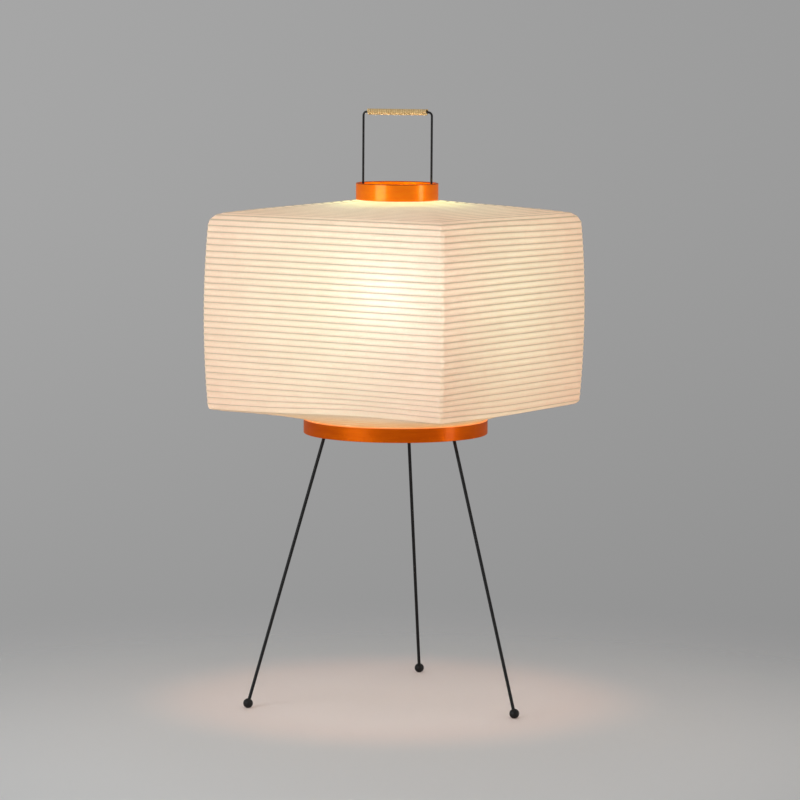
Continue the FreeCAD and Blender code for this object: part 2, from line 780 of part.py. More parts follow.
# Bow: one wire bent square at the top, bolted to the strap at both ends
bar_height = "(dims.overall_height - 2 * dims.cane_radius - dims.cane_gap - dims.bow_radius)"
bow_base = f"({ring_top} - dims.bow_tail)"
stretcher_bow = new_body("stretcher_bow", bow_angle)
bow_path = add_sketch(stretcher_bow, "bow_path", "XZ_Plane")
bow_section = add_sketch(stretcher_bow, "bow_section", "XY_Plane", bow_base)
circle(bow_section, "dims.bow_radius", "-dims.bow_half_width")
wide, bend = value("dims.bow_half_width"), value("dims.bow_bend")
low, high = value(bow_base), value(bar_height)
bow_path.addGeometry(Part.LineSegment(Vector(-wide, low, 0), Vector(-wide, high - bend, 0)))
bow_path.addGeometry(Part.ArcOfCircle(Part.Circle(Vector(bend - wide, high - bend, 0), UP, bend),
                                      math.pi / 2, math.pi))
bow_path.addGeometry(Part.LineSegment(Vector(bend - wide, high, 0), Vector(wide - bend, high, 0)))
bow_path.addGeometry(Part.ArcOfCircle(Part.Circle(Vector(wide - bend, high - bend, 0), UP, bend),
                                      0, math.pi / 2))
bow_path.addGeometry(Part.LineSegment(Vector(wide, high - bend, 0), Vector(wide, low, 0)))
bow_path.addConstraint([
    Sketcher.Constraint("Tangent", 0, 2, 1, 2),
    Sketcher.Constraint("Tangent", 1, 1, 2, 1),
    Sketcher.Constraint("Tangent", 2, 2, 3, 2),
    Sketcher.Constraint("Tangent", 3, 1, 4, 1),
    Sketcher.Constraint("Vertical", 0),
    Sketcher.Constraint("Horizontal", 2),
    Sketcher.Constraint("Equal", 1, 3),
])
pin_point(bow_path, 0, 1, "-dims.bow_half_width", bow_base)
pin_point(bow_path, 4, 2, "dims.bow_half_width", bow_base)
pin_radius(bow_path, 1, "dims.bow_bend")
number = bow_path.addConstraint(Sketcher.Constraint("DistanceY", -1, 1, 2, 1, high))
bow_path.setExpression(f"Constraints[{number}]", bar_height)
wire = stretcher_bow.newObject("PartDesign::AdditivePipe", "bow_wire")
wire.Profile = bow_section
wire.Spine = bow_path
keep(stretcher_bow, "stretcher_bow")


# Grip: square-cut cane wound on the bow's bar
def half_turn_arcs(start, along_start, end, along_end):
    """Two arcs, each about a quarter turn, that leave start and reach end along the given directions."""
    chord = end - start
    bent = 2 * (1 - along_start.dot(along_end))
    reach = chord.dot(along_start + along_end)
    tangent = (-reach + math.sqrt(reach**2 + bent * chord.dot(chord))) / bent
    first = start + along_start * tangent
    second = end - along_end * tangent
    joint = (first + second) * 0.5
    arcs = []
    for begin, corner, finish in ((start, first, joint), (joint, second, end)):
        half = (finish - begin).Length / 2
        centre = (begin + finish) * 0.5
        rise = half * math.tan(math.acos(half / tangent) / 2)
        towards = (corner - centre).normalize()
        arcs.append(Part.Arc(begin, centre + towards * rise, finish).toShape())
    return arcs


def grip_wrap():
    loops = int(value("dims.grip_loops"))
    radius = value("dims.bow_radius + dims.cane_gap + dims.cane_radius")
    thickness = value("2 * dims.cane_radius")
    reach = value("dims.grip_half_length - dims.cane_radius")
    pitch = 2 * reach / loops
    height = value(bar_height)

    def helix(half_turns):
        angle = math.pi * half_turns
        place = Vector(-reach + pitch * half_turns / 2, radius * math.sin(angle),
                       height - radius * math.cos(angle))
        along = Vector(pitch / 2, math.pi * radius * math.cos(angle),
                       math.pi * radius * math.sin(angle))
        return place, along.normalize()

    begin, along = helix(0)
    finish, leave = helix(2 * loops)
    edges = [Part.LineSegment(begin - along * thickness, begin).toShape()]
    for half_turn in range(2 * loops):
        start, along_start = helix(half_turn)
        end, along_end = helix(half_turn + 1)
        edges += half_turn_arcs(start, along_start, end, along_end)
    edges.append(Part.LineSegment(finish, finish + leave * thickness).toShape())
    sides = 4
    cane = value("dims.cane_radius")
    section = polygon_across(begin - along * thickness, along, along.cross(UP).normalize(), cane, sides)
    area = sides / 2 * cane**2 * math.sin(2 * math.pi / sides)
    tube = wound("grip_wrap", edges, section, area, loops, thickness)
    feature = doc.addObject("Part::Feature", "grip_wrap")
    feature.Shape = tube
    feature.Placement = bow_turn
    keep(feature, "grip_wrap")


grip_wrap()


# Stem: a threaded tube clamped to the strap by two nuts, with the lead's bush in its lower end
stem_base = f"({ring_top} - dims.stem_below)"
core_top = "(dims.bulb_base - dims.tongue_height)"
core_base = f"({core_top} - dims.core_height)"
cap_base = f"({core_base} - dims.holder_cap_height)"
hub_top = f"({cap_base} + 2 * dims.stem_nut_height)"
keep(turned("socket_stem", [
    ("dims.stem_bore", stem_base),
    ("dims.stem_radius", stem_base),
    ("dims.stem_radius", hub_top),
    ("dims.stem_bore", hub_top),
]), "socket_stem")
group("stem_nuts", [
    hex_nut("stem_nut_lower", "dims.stem_nut_radius", "dims.stem_nut_height",
            "dims.stem_radius + dims.glue_gap", on_strap("0", f"{ring_top} - dims.stem_nut_height")),
    hex_nut("stem_nut_upper", "dims.stem_nut_radius", "dims.stem_nut_height",
            "dims.stem_radius + dims.glue_gap", on_strap("0", strap_top)),
])
keep(turned("cord_bush", [
    ("dims.bush_bore", f"{stem_base} - dims.bush_flange"),
    ("dims.bush_flange_radius", f"{stem_base} - dims.bush_flange"),
    ("dims.bush_flange_radius", stem_base),
    ("dims.stem_bore - dims.glue_gap", stem_base),
    ("dims.stem_bore - dims.glue_gap", f"{stem_base} + dims.bush_depth"),
    ("dims.bush_bore", f"{stem_base} + dims.bush_depth"),
]), "cord_bush")


# Lampholder: cap on the stem, core on the cap's rim, brass on the core, sleeve over all
cap_inner = "(dims.holder_radius - dims.holder_wall)"
cap_floor = f"({cap_base} + dims.holder_wall)"
stem_fit = "dims.stem_radius + dims.glue_gap"
keep(turned("holder_cap", [
    (stem_fit, cap_base),
    (f"{cap_inner} - dims.holder_wall", cap_base),
    ("dims.holder_radius", f"{cap_base} + 2 * dims.holder_wall"),
    ("dims.holder_radius", core_base),
    (cap_inner, core_base),
    (cap_inner, f"{cap_floor} + dims.holder_wall"),
    (f"{cap_inner} - dims.holder_wall", cap_floor),
    ("dims.hub_radius", cap_floor),
    ("dims.hub_radius", hub_top),
    (stem_fit, hub_top),
]), "holder_cap")
core_body = turned("holder_core_blank", [
    ("0", core_base),
    ("dims.holder_radius - dims.glue_gap", core_base),
    ("dims.holder_radius - dims.glue_gap", f"{core_base} + dims.core_flange"),
    ("dims.core_radius", f"{core_base} + dims.core_flange"),
    ("dims.core_radius", core_top),
    ("0", core_top),
])
terminals, terminal_holes = [], []
for side, name in ((-1, "left"), (1, "right")):
    terminal_x = f"{side} * dims.terminal_offset"
    terminals.append(fuse(f"terminal_{name}", [
        rod(f"terminal_shank_{name}", "dims.terminal_radius", "dims.terminal_length",
            on_strap(terminal_x, core_base)),
        rod(f"terminal_head_{name}", "dims.terminal_head_radius", "dims.terminal_head",
            on_strap(terminal_x, f"{core_base} - dims.terminal_head")),
    ]))
    terminal_holes.append(rod(f"terminal_hole_{name}", "dims.terminal_radius + dims.glue_gap",
                              "dims.terminal_length", on_strap(terminal_x, core_base)))
keep(cut("holder_core", core_body, terminal_holes), "holder_core")
group("holder_terminals", terminals)

shell_inner = "(dims.cap_radius + dims.thread_gap)"
shell_outer = f"({shell_inner} + dims.brass)"
keep(turned("holder_thread", [
    ("dims.shell_hole", core_top),
    (shell_outer, core_top),
    (shell_outer, f"{core_top} + dims.shell_height"),
    (shell_inner, f"{core_top} + dims.shell_height"),
    (shell_inner, f"{core_top} + dims.brass"),
    ("dims.shell_hole", f"{core_top} + dims.brass"),
]), "holder_thread")

holder_tongue = new_body("holder_tongue", bow_angle)
tongue_side = add_sketch(holder_tongue, "tongue_side", "XZ_Plane")
tongue_half = "dims.tongue_half"
tongue_tip = f"{core_top} + dims.tongue_height - dims.thread_gap"
outline(tongue_side, [
    (f"-{tongue_half}", core_top),
    ("-dims.tongue_width / 4", core_top),
    (tongue_half, f"{tongue_tip} - dims.brass"),
    (tongue_half, tongue_tip),
    (f"{tongue_half} - dims.brass", tongue_tip),
    ("-dims.tongue_width / 4 - dims.brass", f"{core_top} + dims.brass"),
    (f"-{tongue_half}", f"{core_top} + dims.brass"),
])
strip = pad(holder_tongue, "tongue_strip", tongue_side, "dims.tongue_width")
strip.Midplane = True
keep(holder_tongue, "holder_tongue")

sleeve_inner = "(dims.holder_radius + dims.glue_gap)"
sleeve_outer = f"({sleeve_inner} + dims.sleeve_wall)"
sleeve_base = f"({core_base} - dims.sleeve_overlap)"
sleeve_top = f"({core_top} + dims.shell_height + 2 * dims.sleeve_wall)"
sleeve_mouth = f"({shell_outer} + dims.thread_gap)"
keep(turned("holder_sleeve", [
    (sleeve_inner, sleeve_base),
    (sleeve_outer, sleeve_base),
    (sleeve_outer, f"{sleeve_top} - dims.sleeve_wall"),
    (f"{sleeve_outer} - dims.sleeve_wall", sleeve_top),
    (sleeve_mouth, sleeve_top),
    (sleeve_mouth, f"{sleeve_top} - dims.sleeve_wall"),
    (sleeve_inner, f"{sleeve_top} - dims.sleeve_wall"),
]), "holder_sleeve")


# Bulb: contact button, insulator and screw cap, and blown glass round a mount with four filaments
def above_base(rise):
    """A height above the bulb's contact."""
    return f"(dims.bulb_base + {rise})"


keep(turned("bulb_contact", [
    ("0", "dims.bulb_base"),
    ("dims.button_radius - dims.button / 2", "dims.bulb_base"),
    ("dims.button_radius", above_base("dims.button / 2")),
    ("dims.button_radius", above_base("dims.button")),
    ("0", above_base("dims.button")),
]), "bulb_contact")
keep(turned("bulb_insulator", [
    ("0", above_base("dims.button")),
    ("dims.button_radius", above_base("dims.button")),
    ("dims.insulator_radius", above_base("dims.cap_skirt")),
    ("dims.insulator_radius", above_base("dims.cap_skirt + dims.button")),
    ("0", above_base("dims.cap_skirt + dims.button")),
]), "bulb_insulator")
cap_bore = "(dims.cap_radius - dims.brass)"
cap_slope = "(dims.cap_radius - dims.insulator_radius)"
keep(turned("bulb_cap", [
    ("dims.insulator_radius + dims.glue_gap", above_base("dims.cap_skirt")),
    ("dims.cap_radius", above_base(f"dims.cap_skirt + {cap_slope}")),
    ("dims.cap_radius", above_base("dims.cap_top")),
    (cap_bore, above_base("dims.cap_top")),
    (cap_bore, above_base(f"dims.cap_skirt + {cap_slope} + dims.brass / 2")),
    ("dims.insulator_radius + dims.glue_gap", above_base("dims.cap_skirt + dims.brass")),
]), "bulb_cap")
globe_centre = above_base("dims.bulb_length - dims.bulb_radius")
globe_reach = "(dims.bulb_radius + dims.bulb_shoulder)"
shoulder_x = "(dims.bulb_neck + dims.bulb_shoulder)"
shoulder_drop = f"sqrt({globe_reach}^2 - {shoulder_x}^2)"
shoulder_height = f"({globe_centre} - {shoulder_drop})"
glass_inner = "(dims.bulb_radius - dims.glass)"
keep(turned("bulb_glass", [
    ("dims.bulb_neck", above_base("dims.mount_base")),
    ("dims.bulb_neck", shoulder_height, "dims.bulb_shoulder", 1),
    (f"{shoulder_x} * dims.bulb_radius / {globe_reach}",
     f"{globe_centre} - {shoulder_drop} * dims.bulb_radius / {globe_reach}", "dims.bulb_radius", -1),
    ("0", above_base("dims.bulb_length")),
    ("0", above_base("dims.bulb_length - dims.glass"), glass_inner, 1),
    (f"{shoulder_x} * {glass_inner} / {globe_reach}",
     f"{globe_centre} - {shoulder_drop} * {glass_inner} / {globe_reach}",
     "dims.bulb_shoulder + dims.glass", -1),
    ("dims.bulb_neck - dims.glass", shoulder_height),
    ("dims.bulb_neck - dims.glass", above_base("dims.mount_base")),
]), "bulb_glass")
keep(turned("bulb_mount", [
    ("0", above_base("dims.mount_base")),
    ("dims.mount_radius", above_base("dims.mount_base")),
    ("dims.mount_radius", above_base("dims.mount_base + dims.button")),
    ("2 * dims.mount_rod", above_base("dims.mount_base + dims.mount_radius / 2")),
    ("dims.mount_rod", above_base("dims.mount_base + dims.mount_radius")),
    ("dims.mount_rod", above_base("dims.mount_top")),
    ("0", above_base("dims.mount_top")),
]), "bulb_mount")
filament_tilt = Rotation(Vector(0, 1, 0), value("dims.filament_lean"))
filament_root = Vector(value("dims.filament_circle"), 0,
                       value(above_base("dims.bulb_length / 2")))
filaments = []
for number in range(4):
    place = about_axis(45 + 90 * number).multiply(Placement(filament_root, filament_tilt))
    filaments.append(rod(f"filament_{number}", "dims.filament_radius", "dims.filament_length", place))
group("bulb_filaments", filaments)


# Build, check and export
doc.recompute()
for thing in doc.Objects:
    if "Invalid" in thing.State or "Error" in thing.State:
        raise RuntimeError(f"{thing.Label} failed: {thing.State}")
os.makedirs("parts", exist_ok=True)
for piece in subparts:
    if piece.Shape.isNull() or not piece.Shape.isValid():
        raise RuntimeError(f"{piece.Label} has a bad shape")
    piece.Shape.exportStep(f"parts/{piece.Label}.step")
print(f"{len(subparts)} pieces, shade half side {value(shade_half):.1f} mm")
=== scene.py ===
import math

import bmesh
import bpy
from mathutils import Matrix, Vector


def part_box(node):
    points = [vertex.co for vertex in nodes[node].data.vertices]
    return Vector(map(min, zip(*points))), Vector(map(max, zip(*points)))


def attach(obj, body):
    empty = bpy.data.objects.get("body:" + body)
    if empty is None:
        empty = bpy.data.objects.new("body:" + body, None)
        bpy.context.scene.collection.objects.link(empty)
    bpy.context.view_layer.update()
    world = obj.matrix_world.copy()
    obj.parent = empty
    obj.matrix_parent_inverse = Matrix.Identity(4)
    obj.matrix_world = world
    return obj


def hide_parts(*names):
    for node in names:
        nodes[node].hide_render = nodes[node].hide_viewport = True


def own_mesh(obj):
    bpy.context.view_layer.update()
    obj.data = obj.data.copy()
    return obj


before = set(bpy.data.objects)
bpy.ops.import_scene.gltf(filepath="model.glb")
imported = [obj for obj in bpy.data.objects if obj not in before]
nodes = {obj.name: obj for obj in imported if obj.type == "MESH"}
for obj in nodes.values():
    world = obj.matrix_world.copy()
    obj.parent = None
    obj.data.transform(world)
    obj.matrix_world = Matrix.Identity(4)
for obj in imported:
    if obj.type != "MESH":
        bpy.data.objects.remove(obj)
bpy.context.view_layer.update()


# Legs and feet: three straight steel wires glued into drilled balls, all in satin black enamel.
# The ring that joins the legs, the strap across it and the wire bow have the same enamel.
class Signal:
    """A shader socket that joins in Python sums. Each operator adds one Math node."""

    def __init__(self, tree, socket=None):
        self.tree = tree
        self.socket = socket

    def node(self, kind, settings, inputs, output=0):
        """Add a node of a kind: its settings first, then the values or links of its sockets."""
        made = self.tree.nodes.new("ShaderNode" + kind)
        for name, setting in settings.items():
            setattr(made, name, setting)
        plug(made, inputs)
        return Signal(self.tree, made.outputs[output])

    def maths(self, operation, first, second=0.0):
        """Add a Math node on numbers or signals."""
        return self.node("Math", {"operation": operation}, {0: first, 1: second})

    def __add__(self, other):
        return self.maths("ADD", self, other)

    def __radd__(self, other):
        return self.maths("ADD", other, self)

    def __sub__(self, other):
        return self.maths("SUBTRACT", self, other)

    def __rsub__(self, other):
        return self.maths("SUBTRACT", other, self)

    def __mul__(self, other):
        return self.maths("MULTIPLY", self, other)

    def __rmul__(self, other):
        return self.maths("MULTIPLY", other, self)

    def __truediv__(self, other):
        return self.maths("DIVIDE", self, other)

    def __rtruediv__(self, other):
        return self.maths("DIVIDE", other, self)

    def __pow__(self, other):
        return self.maths("POWER", self, other)

    def __abs__(self):
        return self.maths("ABSOLUTE", self)

    def rise(self, low, high):
        """0 below low, 1 above high, and smooth between them."""
        return self.node("MapRange", {"interpolation_type": "SMOOTHSTEP"},
                         {0: self, 1: low, 2: high, 3: 0.0, 4: 1.0})

    def blend(self, first, second):
        """The first colour where this is 0 and the second where it is 1."""
        return self.node("Mix", {"data_type": "RGBA"}, {0: self, 6: first, 7: second}, 2)

    def axes(self):
        """The three parts of a vector."""
        return [self.node("SeparateXYZ", {}, {0: self}, number) for number in range(3)]

    def noise(self, scale, detail=3.0):
        """Cloudy noise on this place, from 0 to 1."""
        return self.node("TexNoise", {}, {"Vector": self, "Scale": scale, "Detail": detail}, 0)

    def bump(self, depth):
        """This height as a bump normal, with its full depth in metres."""
        return self.node("Bump", {}, {"Strength": 1.0, "Distance": depth, "Height": self}, 0)


def plug(node, inputs):
    """Set a node's sockets, or link them where a signal is given."""
    for name, given in inputs.items():
        if isinstance(given, Signal):
            given.tree.links.new(given.socket, node.inputs[name])
        else:
            node.inputs[name].default_value = given


def new_finish(name):
    """A new material, its main shader, and the place on its piece in metres."""
    material = bpy.data.materials.new(name)
    material.use_nodes = True
    place = Signal(material.node_tree).node("TexCoord", {}, {}, "Object")
    return material, material.node_tree.nodes["Principled BSDF"], place


def dress(material, *names):
    """Give CAD nodes a finish."""
    for name in names:
        nodes[name].data.materials.clear()
        nodes[name].data.materials.append(material)


enamel, shader, place = new_finish("black_enamel")
speckle = place.noise(1400)
cloud = place.noise(60)
plug(shader, {
    "Base Color": cloud.blend((0.003, 0.003, 0.0035, 1), (0.009, 0.009, 0.0095, 1)),
    "Roughness": 0.38 + speckle * 0.16,
    "Specular IOR Level": 0.25,
    "Normal": speckle.bump(0.00003),
})
legs_and_feet = [f"{part}_{side}" for part in ("leg", "foot_ball") for side in ("right", "back", "left")]
dress(enamel, *legs_and_feet, "stand_ring", "cross_strap", "stretcher_bow")


# Fasteners: zinc-plated steel screws, nuts, threaded stem and riveted spring clips.
# They are bought in, and hold the strap, the bow, the lampholder and the top hoop.
zinc, shader, place = new_finish("zinc_plate")
grain = place.noise(2200)
bloom = place.noise(240)
plug(shader, {
    "Base Color": bloom.blend((0.5, 0.5, 0.47, 1), (0.72, 0.71, 0.67, 1)),
    "Metallic": 1.0,
    "Roughness": 0.28 + grain * 0.2,
    "Normal": grain.bump(0.00002),
})
dress(zinc, "strap_screws", "strap_nuts", "bow_nuts", "stem_nuts", "socket_stem",
      "hoop_clip_right", "hoop_clip_left", "clip_rivets")


# Hoops: thin strips of wood bent round, stained orange and lacquered,
# with painted shade along the cut edge on top.
# The lower one sits on the ring's lugs and the upper one is carried by the two clips.
# The bulb's light through the upper hoop and along the lower one's top edge is a painted glow.
top_hoop_low, top_hoop_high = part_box("top_hoop")
bottom_hoop_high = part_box("bottom_hoop")[1]
hoop_clear = 0.05
edge_begin = 0.0013
edge_full = 0.0006
fibre_along = 9.0
fibre_across = 1500.0
figure_along = 2.6
figure_across = 190.0

bentwood, shader, place = new_finish("orange_bentwood")
east, north, height = place.axes()
bearing = place.maths("ARCTAN2", north, east)
radius = (east * east + north * north) ** 0.5
fibre_place = place.node("CombineXYZ", {}, {
    0: bearing * fibre_along, 1: height * fibre_across, 2: radius * fibre_across})
figure_place = place.node("CombineXYZ", {}, {
    0: bearing * figure_along, 1: height * figure_across, 2: radius * figure_across})
fibre = fibre_place.noise(1.0)
figure = figure_place.noise(1.0)
stain = (fibre * 0.45 + figure * 0.55).rise(0.2, 0.8)
upper = height.rise(bottom_hoop_high.z + hoop_clear, top_hoop_low.z - hoop_clear)
# Painted shade along the upper hoop's cut edge on top, where it faces up away from the light.
cut_edge_painted_shade = height.rise(top_hoop_high.z - edge_begin, top_hoop_high.z - edge_full)
# Painted glow: along the lower hoop's top edge, and through the whole upper hoop.
painted_lit_edge = (1 - upper) * height.rise(bottom_hoop_high.z - edge_begin, bottom_hoop_high.z - edge_full)
upper_stain = stain.blend((0.82, 0.15, 0.001, 1), (0.96, 0.235, 0.002, 1))
# The lower hoop's stain is a darker copy of the upper one's: painted shade under the paper.
lower_stain_painted_shade = stain.blend((0.6, 0.085, 0.0005, 1), (0.73, 0.135, 0.001, 1))
wood = upper.blend(lower_stain_painted_shade, cut_edge_painted_shade.blend(upper_stain, (0.2, 0.04, 0.001, 1)))
painted_shine_through = upper.blend((0, 0, 0, 1), (0.16, 0.022, 0, 1))
plug(shader, {
    "Base Color": wood,
    "Metallic": 0.42 + upper * 0.13,
    "Roughness": 0.3 + fibre * 0.12,
    "Specular IOR Level": 0.1,
    "Specular Tint": (1.0, 0.5, 0.1, 1),
    "Coat Weight": 0.03 + upper * 0.1,
    "Coat Roughness": 0.13,
    "Coat IOR": 2.0,
    "Emission Color": painted_lit_edge.blend(painted_shine_through, (0.6, 0.28, 0.1, 1)),
    "Emission Strength": 1.0,
    "Normal": fibre.bump(0.00003),
})
dress(bentwood, "bottom_hoop", "top_hoop")


# Lampholder: a dark moulded cap and sleeve round a porcelain core that carries the brass contacts.
# It screws onto the stem's upper end, and the lead's bush is pushed into the lower end.
moulding, shader, place = new_finish("dark_moulding")
sheen = place.noise(700)
plug(shader, {
    "Base Color": sheen.blend((0.016, 0.015, 0.014, 1), (0.034, 0.032, 0.03, 1)),
    "Roughness": 0.42 + sheen * 0.2,
    "Normal": sheen.bump(0.00003),
})
dress(moulding, "holder_cap", "holder_sleeve", "cord_bush")

porcelain, shader, place = new_finish("porcelain")
body = place.noise(400)
plug(shader, {
    "Base Color": body.blend((0.7, 0.67, 0.6, 1), (0.82, 0.8, 0.75, 1)),
    "Roughness": 0.5 + body * 0.2,
})
dress(porcelain, "holder_core")

brass, shader, place = new_finish("pressed_brass")
tarnish = place.noise(300)
plug(shader, {
    "Base Color": tarnish.blend((0.5, 0.33, 0.1, 1), (0.83, 0.62, 0.26, 1)),
    "Metallic": 1.0,
    "Roughness": 0.25 + tarnish * 0.25,
})
dress(brass, "holder_thread", "holder_tongue", "holder_terminals", "bulb_contact")


# Bulb: an opal glass bulb, lit, on an aluminium screw cap with a rolled thread.
# The cap's end is black glass with a soldered contact in the middle.
bulb_glass_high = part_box("bulb_glass")[1]
bulb_middle = Vector((0, 0, bulb_glass_high.z - bulb_glass_high.x))

opal, shader, place = new_finish("lit_opal_glass")
frost = place.noise(900)
plug(shader, {
    "Base Color": frost.blend((0.9, 0.84, 0.74, 1), (0.96, 0.92, 0.85, 1)),
    "Roughness": 0.25 + frost * 0.1,
    "Emission Color": frost.blend((1.0, 0.96, 0.9, 1), (1.0, 0.98, 0.94, 1)),
    "Emission Strength": 29.0,
})
dress(opal, "bulb_glass")

stem_glass, shader, place = new_finish("stem_glass")
drawn = place.noise(700)
plug(shader, {
    "Base Color": drawn.blend((0.86, 0.88, 0.87, 1), (0.95, 0.96, 0.95, 1)),
    "Roughness": 0.05 + drawn * 0.06,
    "IOR": 1.5,
    "Transmission Weight": 0.9,
})
dress(stem_glass, "bulb_mount")

filament, shader, place = new_finish("lit_filament")
coil = place.noise(2600)
plug(shader, {
    "Base Color": coil.blend((0.8, 0.62, 0.2, 1), (0.95, 0.8, 0.4, 1)),
    "Roughness": 0.5 + coil * 0.2,
    "Emission Color": coil.blend((1.0, 0.7, 0.34, 1), (1.0, 0.8, 0.46, 1)),
    "Emission Strength": 20.0,
})
dress(filament, "bulb_filaments")

thread_pitch = 0.003629
cap_metal, shader, place = new_finish("rolled_cap")
east, north, height = place.axes()
wave = place.maths("SINE", height * (2 * math.pi / thread_pitch) + place.maths("ARCTAN2", north, east))
scuff = place.noise(900)
plug(shader, {
    "Base Color": scuff.blend((0.62, 0.62, 0.61, 1), (0.82, 0.82, 0.81, 1)),
    "Metallic": 1.0,
    "Roughness": 0.22 + scuff * 0.2,
    "Normal": wave.bump(0.0004),
})
dress(cap_metal, "bulb_cap")

black_glass, shader, place = new_finish("black_glass")
swirl = place.noise(500)
plug(shader, {
    "Base Color": swirl.blend((0.01, 0.01, 0.012, 1), (0.03, 0.028, 0.03, 1)),
    "Roughness": 0.12 + swirl * 0.1,
})
dress(black_glass, "bulb_insulator")


# Grip: peeled cane wound tightly round the bow's bar and glued to it.
# It is a dry natural strip, straw gold with paler and browner stretches,
# with painted shade in the grooves between its turns.
def add_piece(name, mesh, material, body):
    """Make a finished mesh a piece of the lamp that rides on a body."""
    for face in mesh.polygons:
        face.use_smooth = True
    mesh.materials.append(material)
    piece = bpy.data.objects.new(name, mesh)
    bpy.context.scene.collection.objects.link(piece)
    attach(piece, body)
    return piece


def mesh_from(shape, name):
    """A bmesh as a mesh, with its faces turned outwards."""
    bmesh.ops.recalc_face_normals(shape, faces=shape.faces[:])
    mesh = bpy.data.meshes.new(name)
    shape.to_mesh(mesh)
    shape.free()
    return mesh


cane_radius = 0.00128
cane_loops = 33
steps_a_loop = 16
winding_steps = cane_loops * steps_a_loop
wire_radius = 0.00135
glue_film = 0.00005
grip_end = 0.0383
bow_bearing = math.radians(18)
grip_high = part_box("grip_wrap")[1]
wound_radius = wire_radius + glue_film + cane_radius
bar_height = grip_high.z - wound_radius - cane_radius
grip_half = grip_end - cane_radius
winding = bmesh.new()
bmesh.ops.create_circle(winding, segments=8, radius=cane_radius, cap_ends=True)
bmesh.ops.rotate(winding, verts=winding.verts[:], matrix=Matrix.Rotation(math.pi / 2, 3, "X"))
bmesh.ops.translate(winding, verts=winding.verts[:], vec=(-grip_half, 0, wound_radius))
bmesh.ops.spin(winding, geom=winding.verts[:] + winding.edges[:] + winding.faces[:], cent=(0, 0, 0),
               axis=(1, 0, 0), dvec=(2 * grip_half / winding_steps, 0, 0),
               angle=2 * math.pi * cane_loops, steps=winding_steps, use_merge=False)
bmesh.ops.rotate(winding, verts=winding.verts[:], matrix=Matrix.Rotation(bow_bearing, 3, "Z"))
bmesh.ops.translate(winding, verts=winding.verts[:], vec=(0, 0, bar_height))

cane, shader, place = new_finish("peeled_cane")
strand = place.noise(3200)
stretch = place.noise(330)
straw = (strand * 0.4 + stretch * 0.6).rise(0.3, 0.7)
east, north, height = place.axes()
across_bar = north * math.cos(bow_bearing) - east * math.sin(bow_bearing)
off_bar = ((height - bar_height) ** 2 + across_bar ** 2) ** 0.5
# Painted shade: each turn darkens towards the bar, in the grooves between the turns.
crown_vs_groove_shade = off_bar.rise(wound_radius + 0.1 * cane_radius, wound_radius + 0.85 * cane_radius)
peel = straw.blend((0.6, 0.4, 0.165, 1), (0.8, 0.59, 0.3, 1))
plug(shader, {
    "Base Color": crown_vs_groove_shade.blend((0.44, 0.28, 0.1, 1), peel),
    "Roughness": 0.5 + strand * 0.2,
    "Normal": strand.bump(0.00004),
})
grip = add_piece("cane_grip", mesh_from(winding, "cane_grip"), cane, "stand")
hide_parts("grip_wrap")


# Shade: the skin's own shape, from the hem in the top hoop to the hem in the bottom one.
# It is a square with swollen sides and rounded edges that closes to a circle at each hoop.
# As on any hand-made shade, the paste draws a lower corner up a little, and an upper one droops.
hoop_wall = 0.003
hem_gap = 0.0005
hem = 0.008
hem_flat = 0.0008
neck_gap = 0.0002
rim_half = 0.1679
top_edge_radius = 0.0155
bottom_edge_radius = 0.0055
corner_radius = 0.005
side_lean = math.radians(3.75)
top_drop = 0.0146
top_slope_at_hoop = math.radians(8.5)
top_slope_at_edge = math.radians(10)
bottom_slope_mean = math.radians(14.2)
bottom_slope_at_hoop = math.radians(25)
bottom_slope_at_edge = math.radians(7)
drawn_up = 0.0068
drawn_up_reach = 0.03
drawn_up_bearing = math.radians(-68)
drawn_up_focus = 4
droop = 0.0028
droop_reach = 0.06
droop_bearing = math.radians(48)
droop_focus = 2
slope_steps = 12
side_steps = 24
top_edge_steps = 8
bottom_edge_steps = 6
side_columns = 10
corner_columns = 6
columns = 4 * (side_columns + corner_columns)


def edge_half(radius):
    """How far out a rounded edge's middle lies, so that the edge meets the side."""
    return rim_half - radius * math.cos(side_lean)


def face_width(radius, slope, neck):
    """How wide a sloping face is, from its neck to where its rounded edge begins."""
    return edge_half(radius) + radius * math.sin(slope) - neck


top_neck = top_hoop_high.x - hoop_wall - hem_gap
bottom_neck = bottom_hoop_high.x - hoop_wall - hem_gap
top_neck_height = top_hoop_low.z - neck_gap
bottom_neck_height = bottom_hoop_high.z + neck_gap
top_width = face_width(top_edge_radius, top_slope_at_edge, top_neck)
top_edge = top_neck_height - top_drop - top_edge_radius * math.cos(top_slope_at_edge)
bottom_mean_width = face_width(bottom_edge_radius, bottom_slope_mean, bottom_neck)
bottom_rise = bottom_mean_width * math.tan(bottom_slope_mean)
bottom_rise += bottom_edge_radius * math.cos(bottom_slope_mean)
bottom_edge = bottom_neck_height + bottom_rise
bottom_width = face_width(bottom_edge_radius, bottom_slope_at_edge, bottom_neck)
bottom_drop = bottom_rise - bottom_edge_radius * math.cos(bottom_slope_at_edge)
side_top = top_edge + top_edge_radius * math.sin(side_lean)
side_bottom = bottom_edge - bottom_edge_radius * math.sin(side_lean)
side_middle = (side_top + side_bottom) / 2
side_reach = (side_top - side_bottom) / 2
side_bulge = side_reach * math.tan(side_lean) / 2
side_face = rim_half + side_bulge


def edge_levels(middle, sense, radius, slope, steps):
    """Heights, half sides and corner radii round one edge, from its sloping face to the side."""
    levels = []
    for step in range(steps + 1):
        angle = math.pi / 2 - slope - (math.pi / 2 - slope - side_lean) * step / steps
        levels.append((middle + sense * radius * math.sin(angle),
                       edge_half(radius) + radius * math.cos(angle), corner_radius))
    return levels


